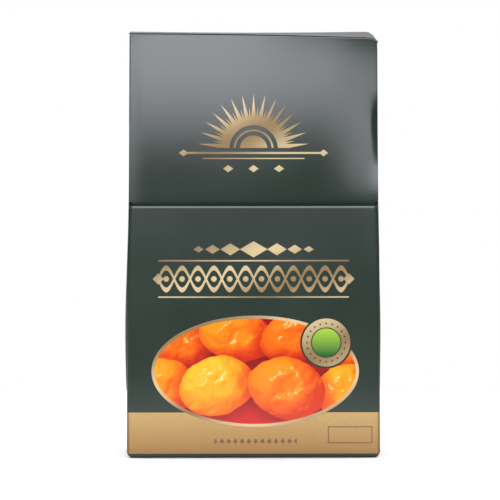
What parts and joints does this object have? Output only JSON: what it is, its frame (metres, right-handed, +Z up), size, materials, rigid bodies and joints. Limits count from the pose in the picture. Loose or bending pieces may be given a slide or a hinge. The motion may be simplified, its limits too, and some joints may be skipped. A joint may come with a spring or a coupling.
{
  "type": "folding carton of dried apricots",
  "caption": "Upright printed board carton with a hinged lid, a front flap tucked behind a low front wall, dust flaps under the lid and a filled pouch of dried apricots inside.",
  "frame": {"origin": "middle of the base, on the surface that the carton stands on", "axes": "+Z up; -Y is the printed front with the tucked flap; +X is to the right as seen from the front"},
  "size_m": [0.1216, 0.0462, 0.202],
  "materials": {
    "printed_board": "satin",
    "plain_board": "satin",
    "pouch_film": "gloss"
  },
  "bodies": {
    "carton": {"carton_body": "printed_board", "inner_pouch": "pouch_film"},
    "lid": {"lid_panel": "printed_board"},
    "flap": {"tuck_flap": "printed_board", "tuck_tongue": "printed_board"},
    "dust_left": {"dust_flap_left": "plain_board"},
    "dust_right": {"dust_flap_right": "plain_board"}
  },
  "joints": [
    {"name": "lid_hinge", "type": "hinge", "parent": "carton", "child": "lid", "pos_m": [0, 0.0225, 0.20125], "axis": [-1, 0, 0], "range_deg": [0, 110], "deforming": ["tuck_tongue"]},
    {"name": "flap_fold", "type": "hinge", "parent": "lid", "child": "flap", "pos_m": [0, -0.0198, 0.2017], "axis": [-1, 0, 0], "range_deg": [0, 90], "deforming": ["tuck_tongue"]},
    {"name": "dust_left_fold", "type": "hinge", "parent": "carton", "child": "dust_left", "pos_m": [-0.05881, 0, 0.20035], "axis": [0, -1, 0], "range_deg": [0, 99]},
    {"name": "dust_right_fold", "type": "hinge", "parent": "carton", "child": "dust_right", "pos_m": [0.05881, 0, 0.20035], "axis": [0, 1, 0], "range_deg": [0, 99]}
  ],
  "couplings": [
    {"joint": "dust_left_fold", "follows": "lid_hinge", "ratio": 0.9},
    {"joint": "dust_right_fold", "follows": "lid_hinge", "ratio": 0.9}
  ]
}
